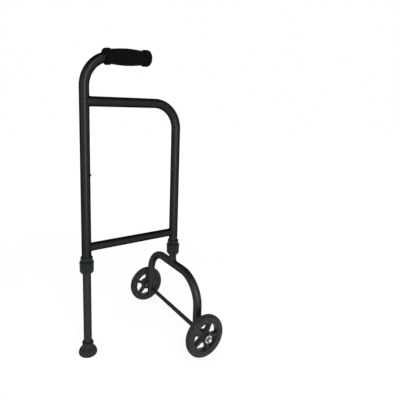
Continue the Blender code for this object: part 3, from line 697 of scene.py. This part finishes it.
def gripOutline():
    # Collar, neck, belly, neck and knob
    collar, knob, edge, edgeTurn = grip["collar"], grip["knob"], grip["edge"], grip["edgeTurn"]
    collarEnd = grip["collarLength"]
    knobStart = grip["length"] - grip["knobLength"]
    neckStart, neckEnd = collarEnd + grip["step"], knobStart - grip["step"]
    collarRound, knobRound = grip["collarRounding"], grip["knobRounding"]
    outline = arc((collar - collarRound, collarRound), collarRound, -90, 0, steps=10)
    outline += [(collar, collarEnd * share) for share in grip["collarLoops"]]
    outline += arc((collar - edge, collarEnd - edge), edge, 0, edgeTurn, steps=5)
    for step in range(grip["bellySteps"] + 1):
        share = step / grip["bellySteps"]
        swell = grip["belly"] * math.sin(math.pi * share)
        outline.append((grip["neck"] + swell, neckStart + (neckEnd - neckStart) * share))
    outline += arc((knob - edge, knobStart + edge), edge, -edgeTurn, 0, steps=5)
    outline += [(knob, grip["length"] - knobRound * share) for share in grip["knobLoops"]]
    return outline + arc(
        (knob - knobRound, grip["length"] - knobRound), knobRound, 0, grip["knobTurn"], steps=12,
    )


def makeGrip():
    bore, depth, tubeBend, heelBend = grip["bore"], grip["boreDepth"], tubes["handleBend"], grip["heelBend"]
    boreOutline = [(bore, distance) for distance in (depth, *grip["boreLoops"])]
    boreOutline.append((bore + grip["boreFlare"], 0))
    bm = bmesh.new()
    loops = []
    for outline, bend in ((boreOutline, tubeBend), (gripOutline(), heelBend)):
        for radius, distance in outline:
            loops.append(loopAt(bm, radius * mm, alongHandle(distance, bend), grip["sides"]))
    joinLoops(bm, loops)
    closeWith(bm, loops[0], alongHandle(depth, tubeBend).to_translation())
    closeWith(bm, loops[-1], alongHandle(grip["length"], heelBend).to_translation())
    piece = makePiece("foam_grip", bm, foam, "frame", "grip_foam", "grip", sharp=grip["sharp"])


print("grip")
makeGrip()


# Locking collars and their nuts, in millimetres from their lower ends
lock = {
    "sides": 96,
    "sleeve": 13.0,
    "bore": 11.3,
    "colletLow": 12.9,
    "collet": 13.7,
    "colletLength": 9.0,
    "slit": 1.6,
    "slitTurns": (45, 135),
    "thread": {"crest": 14.7, "root": 14.2, "pitch": 3.0, "turns": 5, "groove": (1.3, 1.8, 2.5, 3.0)},
    "threadLength": 15.5,
    "head": 16.1,
    "headEdge": 2.6,
    "headTurn": 88,                         # where the rounding of its upper edge starts
    "headFoot": ((0, 0.9), (0.4, 0.3)),     # in from its side, and up from the thread
    "chamfer": 0.4,
    "seat": 16.9,
}
nut = {
    "sides": 96,
    "legBore": 11.6,
    "colletBore": 14.0,
    "threadBore": 15.0,
    "floor": 3.4,
    "threadEnd": 17.7,
    "chamfer": 0.4,
    "sole": 12.5,
    "slopeEnd": 6.0,                                  # height of the cone between sole and side
    "sideStart": 6.9,
    "low": 18.3,
    "high": 18.8,
    "lip": 19.1,
    "lipHeight": 5.0,
    "lipFoot": 0.3,
    "lipEdge": ((0, 0.8), (0.5, 0.25), (1.2, 0)),     # in from its side, and down from its top
    "groove": 0.6,
    "grooveHeights": (2.0, 1.1, 0.5),                 # below the lip, from the groove's lower edge up
    "flutes": 12,
    "fluteSides": 3,                                  # how many of the sides each takes
    "fluteLow": 7,
    "fluteHigh": 28,
    "fluteInset": 0.35,
    "fluteDepth": 0.4,
    "fluteSlack": 0.1,                                # how far in from the lower radius a side face may lie
    "sharp": 35,
}


def collarOutline(height):
    sleeve, bore, head, edge = lock["sleeve"], lock["bore"], lock["head"], lock["headEdge"]
    threadTop = lock["colletLength"] + lock["threadLength"]
    outline = [(sleeve, height - lock["chamfer"]), (sleeve + lock["chamfer"], height)]
    outline += arc((head - edge, height - edge), edge, lock["headTurn"], 0, steps=8)
    outline += [(head - inward, threadTop + rise) for inward, rise in lock["headFoot"]]
    outline += [(lock["thread"]["crest"], threadTop)] + threadDown(threadTop, lock["thread"])
    outline += [(lock["collet"], lock["colletLength"]), (lock["colletLow"], 0), (bore, 0)]
    return outline + [(bore, lock["seat"]), (sleeve, lock["seat"])]


def nutOutline(height):
    low, high, lip, chamfer = nut["low"], nut["high"], nut["lip"], nut["chamfer"]
    legBore, colletBore, threadBore = nut["legBore"], nut["colletBore"], nut["threadBore"]
    lipLow, lipFoot, waist = height - nut["lipHeight"], nut["lipFoot"], high - nut["groove"]
    grooveLow, waistLow, waistHigh = (lipLow - down for down in nut["grooveHeights"])
    outline = [(legBore, chamfer), (legBore + chamfer, 0), (nut["sole"], 0)]
    outline += [(low - chamfer, nut["slopeEnd"]), (low, nut["sideStart"]), (high, grooveLow)]
    outline += [(waist, waistLow), (waist, waistHigh), (lip - lipFoot, lipLow - lipFoot), (lip, lipLow)]
    outline += [(lip - inward, height - down) for inward, down in nut["lipEdge"]]
    outline += [(threadBore + chamfer, height), (threadBore, height - chamfer)]
    outline += [(threadBore, nut["threadEnd"]), (colletBore, nut["threadEnd"])]
    return outline + [(colletBore, nut["floor"]), (legBore, nut["floor"])]


def makeCollar(end, x):
    low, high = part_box(f"{end}_collar")
    base = Matrix.Translation((x, 0, low.z))
    bm = lathe(collarOutline((high.z - low.z) / mm), lock["sides"], base)
    collar = makePiece(f"{end}_collar_sleeve", bm, plastic, "frame", "black_plastic", f"{end}_collar")
    slitHeight = (lock["colletLength"] - lock["slit"]) * mm
    size = Matrix.Diagonal((2 * lock["collet"] * mm, lock["slit"] * mm, 2 * slitHeight, 1))
    for turn in lock["slitTurns"]:
        slit = bmesh.new()
        bmesh.ops.create_cube(slit, size=1, matrix=base @ Matrix.Rotation(math.radians(turn), 4, "Z") @ size)
        carve(collar, slit)


def makeNut(end, x):
    def isFlute(middle, sector):
        onSkin = middle.xy.length > (nut["low"] - nut["fluteSlack"]) * mm
        inHeight = nut["fluteLow"] * mm < middle.z < nut["fluteHigh"] * mm
        return onSkin and inHeight and sector % (nut["sides"] // nut["flutes"]) < nut["fluteSides"]

    low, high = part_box(f"{end}_lock_nut")
    bm = lathe(nutOutline((high.z - low.z) / mm), nut["sides"])
    pressIn(bm, nut["sides"], isFlute, nut["fluteInset"], nut["fluteDepth"])
    bmesh.ops.translate(bm, verts=bm.verts, vec=(x, 0, low.z))
    makePiece(
        f"{end}_twist_nut", bm, nutPlastic, f"{end}_nut", "nut_plastic", f"{end}_lock_nut",
        sharp=nut["sharp"],
    )


print("locks")
for end, x in (("rear", 0), ("front", spacing)):
    makeCollar(end, x)
    makeNut(end, x)


# The rubber foot, in millimetres
foot = {
    "sides": 96,
    "radius": 25.0,
    "rounding": 1.2,
    "lip": 4.4,
    "lipRounding": 0.5,
    "lipStep": 1.0,
    "bellLift": 0.3,
    "bellSteps": 16,
    "shoulder": 13.5,
    "neck": 15.9,
    "neckTop": 15.1,
    "rim": 15.5,
    "rimHeight": 4.6,
    "rimFoot": ((0, -0.6), (0.1, -0.2)),     # out from the neck's top, and up from the rim's lower edge
    "rimLift": 0.3,
    "rimRounding": 3.0,
    "height": 32.4,
    "socket": 11.3,
    "socketFloor": 8.0,
    "socketChamfer": 0.7,
    "grooves": (6.0, 11.0, 16.0, 20.5),
    "grooveCorners": ((-1.2, 0), (-0.8, 1.4), (0.8, 1.4), (1.2, 0)),     # out from its middle, and up
}


def makeFoot():
    radius, neck, rim, top = foot["radius"], foot["neck"], foot["rim"], foot["height"]
    outline = [(0, 0)]
    for groove in foot["grooves"]:
        outline += [(groove + out, depth) for out, depth in foot["grooveCorners"]]
    edge = foot["rounding"]
    outline += arc((radius - edge, edge), edge, -90, 0, steps=6)
    edge = foot["lipRounding"]
    outline += arc((radius - edge, foot["lip"] - edge), edge, 0, 90, steps=4)
    bell, start = radius - foot["lipStep"], foot["lip"] + foot["bellLift"]
    for step in range(foot["bellSteps"] + 1):
        share = step / foot["bellSteps"]
        width = (bell - neck) * math.sqrt(1 - share ** 2)
        outline.append((neck + width, start + (foot["shoulder"] - start) * share))
    rimLow, edge = top - foot["rimHeight"], foot["rimRounding"]
    outline += [(foot["neckTop"] + out, rimLow + rise) for out, rise in foot["rimFoot"]]
    outline.append((rim, rimLow + foot["rimLift"]))
    outline += arc((rim - edge, top - edge), edge, 0, 90, steps=6)
    outline += [(foot["socket"] + foot["socketChamfer"], top), (foot["socket"], top - foot["socketChamfer"])]
    outline += [(foot["socket"], foot["socketFloor"]), (0, foot["socketFloor"])]
    bm = lathe(outline, foot["sides"])
    makePiece("rubber_foot", bm, footRubber, "rear_leg", "foot_rubber", "foot_ferrule")


print("foot")
makeFoot()


# Wheels, in millimetres. Depth is along the axle, from the wheel's middle.
wheel = {
    "sides": 120,
    "bore": 6.6,
    "boreChamfer": 0.3,
    "hub": 13.0,
    "hubHalf": 15.0,
    "hubRounding": 1.0,
    "webHalf": 6.5,
    "band": 39.6,
    "rimEdge": 43.2,
    "rimHalf": 9.5,
    "rimRounding": 0.5,
    "fillet": 1.2,
    "spokes": 5,
    "spokeWidth": 7.5,
    "windowIn": 17.0,
    "windowInSteps": 6,
    "windowOut": 38.6,
    "windowOutSteps": 14,
    "corner": 3.0,
    "cornerSteps": 6,
    "edgeRounding": 0.45,
    "edgeAngle": 50,              # edges sharper than this are rounded
    "turns": {"right": 30.0, "left": 47.0},
}
tyre = {
    "sides": 216,
    "radius": 59.0,
    "half": 10.5,
    "seat": 43.5,
    "seatHalf": 8.8,
    "beadRounding": 1.6,
    "shoulder": 8.5,
    "lines": (46.6, 52.4),        # raised lines round the sidewall
    "lineHeight": 0.35,
    "lineTop": 0.3,               # half its width
    "lineFoot": 0.8,
    "lineRoom": 0.9,              # the shoulder's own points end this far from a line's middle
    "ribDepth": 1.3,
    "ribInset": 0.2,
    "ribStart": 1.0,              # out from the outer line
    "ribFrom": 1.4,               # the ribs start beside a plain band round the middle
    "ribTo": 9.4,
    "sharp": 28,
}


def mirrored(half):
    return half + [(radius, -height) for radius, height in reversed(half)]


def windowCutter(turn):
    # An opening between two spokes
    inner, outer, depth = wheel["windowIn"], wheel["windowOut"], wheel["hubHalf"]
    innerSteps, outerSteps = wheel["windowInSteps"], wheel["windowOutSteps"]

    def halfAngle(radius):
        return math.degrees(math.pi / wheel["spokes"] - math.asin(wheel["spokeWidth"] / 2 / radius))

    outline = arc((0, 0), outer, -halfAngle(outer), halfAngle(outer), outerSteps)
    outline += arc((0, 0), inner, halfAngle(inner), -halfAngle(inner), innerSteps)
    bm = bmesh.new()
    face = bm.faces.new([bm.verts.new((x * mm, y * mm, -depth * mm)) for x, y in outline])
    ends = (0, outerSteps, outerSteps + 1, outerSteps + 1 + innerSteps)
    bmesh.ops.bevel(
        bm, geom=[face.verts[index] for index in ends], offset=wheel["corner"] * mm, affect="VERTICES",
        segments=wheel["cornerSteps"], profile=0.5, material=-1,
    )
    made = bmesh.ops.extrude_face_region(bm, geom=bm.faces[:], use_keep_orig=True)["geom"]
    bmesh.ops.translate(bm, verts=cornersIn(made), vec=(0, 0, 2 * depth * mm))
    bmesh.ops.rotate(bm, verts=bm.verts, cent=(0, 0, 0), matrix=Matrix.Rotation(turn, 3, "Z"))
    return bm


def makeRim(side, place):
    bore, hub, band, rimEdge = wheel["bore"], wheel["hub"], wheel["band"], wheel["rimEdge"]
    hubHalf, webHalf, rimHalf, fillet = wheel["hubHalf"], wheel["webHalf"], wheel["rimHalf"], wheel["fillet"]
    half = [(bore, hubHalf - wheel["boreChamfer"]), (bore + wheel["boreChamfer"], hubHalf)]
    edge = wheel["hubRounding"]
    half += arc((hub - edge, hubHalf - edge), edge, 90, 0, steps=4)
    half += arc((hub + fillet, webHalf + fillet), fillet, 180, 270, steps=4)
    half += arc((band - fillet, webHalf + fillet), fillet, -90, 0, steps=4)
    edge = wheel["rimRounding"]
    half += arc((band + edge, rimHalf - edge), edge, 180, 90, steps=3)
    half += arc((rimEdge - edge, rimHalf - edge), edge, 90, 0, steps=3)
    bm = lathe(mirrored(half), wheel["sides"])
    rim = makePiece(f"{side}_wheel_rim", bm, wheelPlastic, f"{side}_wheel", "wheel_plastic", f"{side}_rim")
    for window in range(wheel["spokes"]):
        carve(rim, windowCutter(math.radians(wheel["turns"][side] + window * 360 / wheel["spokes"])))
    roundEdges(rim, wheel["edgeRounding"], wheel["edgeAngle"])
    rim.data.transform(place)


def tyreOutline():
    radius, seat, shoulder, bead = tyre["radius"], tyre["seat"], tyre["shoulder"], tyre["beadRounding"]
    raised, lineTop, lineFoot, room = tyre["lineHeight"], tyre["lineTop"], tyre["lineFoot"], tyre["lineRoom"]
    innerLine, outerLine = tyre["lines"]
    flank = tyre["half"] - raised
    ridge = ((-lineFoot, 0), (-lineTop, raised), (lineTop, raised), (lineFoot, 0))
    half = [(seat, tyre["seatHalf"])] + arc((seat + bead, flank - bead), bead, 180, 90, steps=4)
    half += [(innerLine + shift, flank + lift) for shift, lift in ridge]
    curve = arc((radius - shoulder, flank - shoulder), shoulder, 90, 0, steps=14)
    half += [spot for spot in curve if spot[0] < outerLine - room]
    for shift, lift in ridge:
        depth = math.sqrt(shoulder ** 2 - (outerLine + shift - radius + shoulder) ** 2)
        half.append((outerLine + shift, flank - shoulder + depth + lift))
    return mirrored(half + [spot for spot in curve if spot[0] > outerLine + room])


def makeTyre(side, place):
    def isGroove(middle, sector):
        beyondLine = middle.xy.length > (tyre["lines"][1] + tyre["ribStart"]) * mm
        return beyondLine and tyre["ribFrom"] * mm < abs(middle.z) < tyre["ribTo"] * mm and sector % 2

    bm = lathe(tyreOutline(), tyre["sides"])
    pressIn(bm, tyre["sides"], isGroove, tyre["ribInset"], tyre["ribDepth"])
    piece = makePiece(
        f"{side}_wheel_tyre", bm, tyreRubber, f"{side}_wheel", "tyre_rubber", f"{side}_tyre",
        sharp=tyre["sharp"],
    )
    piece.data.transform(place)


# What lies on the axle, in millimetres
axle = {
    "sides": 64,
    "hole": 4.3,
    "thread": {"crest": 4.0, "root": 3.4, "pitch": 1.25, "turns": 9, "groove": (0.2, 0.55, 0.7, 1.05)},
    "rodChamfer": 0.6,
    "bush": 6.3,
    "bushFlange": 8.2,
    "bushFlangeHeight": 1.2,
    "bushChamfers": (0.3, 0.2),     # on its flange's face, and on the flange's back
    "spacer": 8.0,
    "spacerChamfer": 0.4,
    "spacerStep": (4.2, 3.8),       # where it widens, from its outer end
    "armCut": 20.0,                 # half the length of the cutter that fits it to the arm
    "washer": 10.5,
    "washerChamfers": (0.2, 0.3),   # on its inner and its outer face
    "nutFlats": 6.5,
    "nutFaces": (6.8, 6.0),         # radius of its inner and its outer face
    "nutSlopes": (0.6, 0.9),        # heights of the slopes from these faces to the corners
    "nutRoom": 0.2,                 # between the corners and the crown's cutter
    "boreReach": 1.0,
    "countersink": ((0, -0.5), (0.6, 0.1)),     # out from the hole, and up from the nut's outer face
    "cap": 11.75,
    "capEdge": 1.5,
    "capChamfer": 0.2,
    "capGap": 0.3,                  # under the arm's end
    "capStem": 9.75,
    "capStemHeight": 6.5,
    "capStemChamfer": 0.5,
}


def axleSpan(node):
    # How far out a piece starts and ends, in millimetres
    low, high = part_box(node)
    return sorted((abs(low.y) / mm, abs(high.y) / mm))


def onAxle(outward):
    # The axle's middle, with Z outwards
    return facing((spacing, 0, axleHeight), outward * left)


def makeBushes(side, outward):
    hole, bush, flange, thick = axle["hole"], axle["bush"], axle["bushFlange"], axle["bushFlangeHeight"]
    front, back = axle["bushChamfers"]
    for end in ("inner", "outer"):
        near, far = axleSpan(f"{side}_{end}_bush")
        face, way = (far, -outward) if end == "outer" else (near, outward)
        outline = [(hole, front), (hole + front, 0), (flange - front, 0), (flange, front)]
        outline += [(flange, thick - back), (flange - back, thick), (bush, thick)]
        outline += [(bush, far - near), (hole, far - near)]
        place = facing((spacing, outward * face * mm, axleHeight), way * left)
        bm = lathe(outline, axle["sides"], place)
        makePiece(
            f"{side}_{end}_hub_bush", bm, bushPlastic, f"{side}_wheel", "white_plastic", f"{side}_{end}_bush",
        )


def makeSpacer(side, outward):
    hole, wide, edge = axle["hole"], axle["spacer"], axle["spacerChamfer"]
    near, far = axleSpan(f"{side}_wheel_spacer")
    stepStart, stepEnd = (far - inward for inward in axle["spacerStep"])
    outline = [(hole, near), (wide - edge, near), (wide - edge, stepStart), (wide, stepEnd)]
    outline += [(wide, far - edge), (wide - edge, far), (hole, far)]
    bm = lathe(outline, axle["sides"], onAxle(outward))
    spacer = makePiece(
        f"{side}_axle_spacer", bm, plastic, "front_fork", "black_plastic", f"{side}_wheel_spacer",
    )
    arm, reach = (tubes["arch"] + tubes["gap"]) * mm, axle["armCut"] * mm
    place = facing((spacing, outward * armOut, axleHeight), up)
    carve(spacer, bar(arm, -reach, reach, tubes["sides"], place))


def makeWasher(side, outward):
    hole, wide = axle["hole"], axle["washer"]
    inner, outer = axle["washerChamfers"]
    near, far = axleSpan(f"{side}_outer_washer")
    outline = [(hole, near), (wide - inner, near), (wide, near + inner), (wide, far - outer)]
    outline += [(wide - outer, far), (hole + inner, far), (hole, far - inner)]
    bm = lathe(outline, axle["sides"], onAxle(outward))
    makePiece(f"{side}_zinc_washer", bm, zinc, "front_fork", "steel", f"{side}_outer_washer")


def makeHexNut(side, outward):
    place, sides, hole = onAxle(outward), axle["sides"], axle["hole"]
    near, far = axleSpan(f"{side}_wheel_nut")
    corner = axle["nutFlats"] / math.cos(math.pi / 6)
    bm = bar(corner * mm, near * mm, far * mm, 6, place)
    hexNut = makePiece(f"{side}_hex_nut", bm, darkZinc, "front_fork", "steel", f"{side}_wheel_nut")
    innerFace, outerFace = axle["nutFaces"]
    innerSlope, outerSlope = axle["nutSlopes"]
    wide = corner + axle["nutRoom"]
    crown = [(0, near), (innerFace, near), (wide, near + innerSlope), (wide, far - outerSlope)]
    carve(hexNut, lathe(crown + [(outerFace, far), (0, far)], sides, place), operation="INTERSECT")
    start = near - axle["boreReach"]
    bore = [(0, start), (hole, start)] + [(hole + out, far + rise) for out, rise in axle["countersink"]]
    carve(hexNut, lathe(bore + [(0, bore[-1][1])], sides, place))


def makeArmCap(side, outward):
    cap, stem, edge = axle["cap"], axle["capStem"], axle["capEdge"]
    chamfer, gap, stemChamfer = axle["capChamfer"], axle["capGap"], axle["capStemChamfer"]
    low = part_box(f"{side}_arm_cap")[0].z / mm
    rest = armEnd / mm
    top = rest + axle["capStemHeight"]
    outline = [(0, low)] + arc((cap - edge, low + edge), edge, -90, 0, steps=6)
    outline += [(cap, rest - (gap + chamfer)), (cap - chamfer, rest - gap), (stem, rest - gap)]
    outline += [(stem, top - stemChamfer), (stem - stemChamfer, top), (0, top)]
    bm = lathe(outline, axle["sides"], Matrix.Translation((spacing, outward * armOut, 0)))
    makePiece(f"{side}_arm_end_cap", bm, plastic, "front_fork", "black_plastic", f"{side}_arm_cap")


def makeAxle():
    thread = axle["thread"]
    reach = axleSpan("axle_rod")[1]
    threadStart = reach - axle["rodChamfer"]
    half = [(0, reach), (thread["root"], reach), (thread["crest"], threadStart)]
    bm = lathe(mirrored(half + threadDown(threadStart, thread)), axle["sides"], onAxle(1))
    makePiece("threaded_axle", bm, zinc, "front_fork", "steel", "axle_rod")


print("wheels")
for side, outward in (("right", -1), ("left", 1)):
    place = Matrix.Translation(middleOf(f"{side}_rim")) @ Matrix.Rotation(math.pi / 2, 4, "X")
    makeRim(side, place)
    makeTyre(side, place)
    makeBushes(side, outward)
    makeSpacer(side, outward)
    makeWasher(side, outward)
    makeHexNut(side, outward)
    makeArmCap(side, outward)
makeAxle()


# Snap buttons, in millimetres
button = {
    "sides": 40,
    "radius": 3.2,
    "dome": 2.6,
    "domeSteps": 9,
    "flange": 4.5,
    "flangeHeight": 1.0,
    "chamfer": 0.2,
}


def makeButton(end, x, toward):
    low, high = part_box(f"{end}_snap_button")
    back, tip = sorted((abs(low.x - x) / mm, abs(high.x - x) / mm))
    flange, stem, chamfer = button["flange"], button["radius"], button["chamfer"]
    front = back + button["flangeHeight"]
    outline = [(0, back), (flange - chamfer, back), (flange, back + chamfer), (flange, front - chamfer)]
    outline += [(flange - chamfer, front), (stem, front)]
    for step in range(button["domeSteps"] + 1):
        angle = math.pi / 2 * step / button["domeSteps"]
        outline.append((stem * math.cos(angle), tip - button["dome"] * (1 - math.sin(angle))))
    bm = lathe(outline, button["sides"], facing((x, 0, buttonHeight), toward * ahead))
    makePiece(f"{end}_height_button", bm, darkZinc, f"{end}_button", "steel", f"{end}_snap_button")


print("buttons")
makeButton("rear", 0, 1)
makeButton("front", spacing, -1)

# Inner pieces stay as the frame made them, in their own finish
finishOf = {
    "black_plastic": plastic, "nut_plastic": nutPlastic, "wheel_plastic": wheelPlastic,
    "white_plastic": bushPlastic, "steel": zinc, "frame_paint": framePaint,
    "tyre_rubber": tyreRubber, "foot_rubber": footRubber, "grip_foam": foam,
}
for part in frame["record"]["subparts"]:
    for place in frame["nodes"][part["node"]].material_slots:
        place.material = finishOf[part["material_slot"]]


# Floor, light and background
studio = {
    "floorRadius": 9.0,
    "floorSides": 96,
    "floorShade": 0.86,
    "floorGlow": 0.82,           # share of the floor under the cane that is plain white to the camera
    "glowSpread": (0.7, 2.2),    # from here to there that share grows to the whole
    "glowStrength": 1.08,        # makes up for the rest's shade, so that the floor meets the white behind it
    "worldShade": 0.6,
    "ceiling": 0.08,             # what gloss finds overhead, against 1 at the horizon
    "ceilingFrom": 0.5,
    "ceilingTo": 0.85,
    "aim": (0.13, 0, 0.4),
    "lamps": {
        "stripLight": {"place": (-0.12, -1.15, 0.6), "size": (0.30, 1.7), "power": 11.0},
        "leftLight": {"place": (-2.6, -1.2, 1.5), "size": (1.2, 2.0), "power": 5.0},
        "topLight": {"place": (0.2, -0.9, 3.0), "size": (2.4, 2.0), "power": 5.0},
    },
}


def makeFloor():
    bm = bmesh.new()
    bmesh.ops.create_circle(bm, cap_ends=True, radius=studio["floorRadius"], segments=studio["floorSides"])
    floor = intoMesh("floor", bm)
    shade = studio["floorShade"]
    pale = newFinish("pale_floor", (shade, shade, shade), {"Roughness": 0.9, "Specular IOR Level": 0.0})
    glow = pale.node("ShaderNodeEmission", {}, {"Strength": studio["glowStrength"]})
    plain = Value(pale, pale.shader.outputs[0])
    away = pale.node("ShaderNodeVectorMath", {"operation": "LENGTH"}, {0: pale.where()}, "Value")
    share = away.between(*studio["glowSpread"], studio["floorGlow"], 1.0) * pale.seenDirectly()
    surface = pale.node("ShaderNodeMixShader", {}, {0: share, 1: plain, 2: glow})
    pale.feed(pale.tree.nodes["Material Output"].inputs, {"Surface": surface})
    floor.data.materials.append(pale.owner)


def makeWorld():
    world = bpy.data.worlds.new("studio")
    bpy.context.scene.world = world
    sky = Finish(world, "Background")
    strength = sky.seenDirectly().between(0, 1, studio["worldShade"], 1.0)
    # Gloss finds a dimmer ceiling overhead
    height = sky.node("ShaderNodeSeparateXYZ", {}, {0: sky.where("Generated")}, "Z")
    ceiling = height.between(studio["ceilingFrom"], studio["ceilingTo"], 0.0, 1.0 - studio["ceiling"])
    sky.wire({"Color": (1, 1, 1, 1), "Strength": strength * (1 - sky.ray("Glossy") * ceiling)})


def addLamp(name, lamp):
    data = bpy.data.lights.new(name, "AREA")
    data.shape = "RECTANGLE"
    data.size, data.size_y = lamp["size"]
    data.energy = lamp["power"]
    place = Vector(lamp["place"])
    aim = Vector(studio["aim"]) - place
    body = bpy.data.objects.new(name, data)
    body.matrix_world = Matrix.Translation(place) @ aim.to_track_quat("-Z", "Y").to_matrix().to_4x4()
    bpy.context.scene.collection.objects.link(body)


print("studio")
makeFloor()
makeWorld()
for name, lamp in studio["lamps"].items():
    addLamp(name, lamp)
bpy.context.scene.view_settings.view_transform = "Standard"
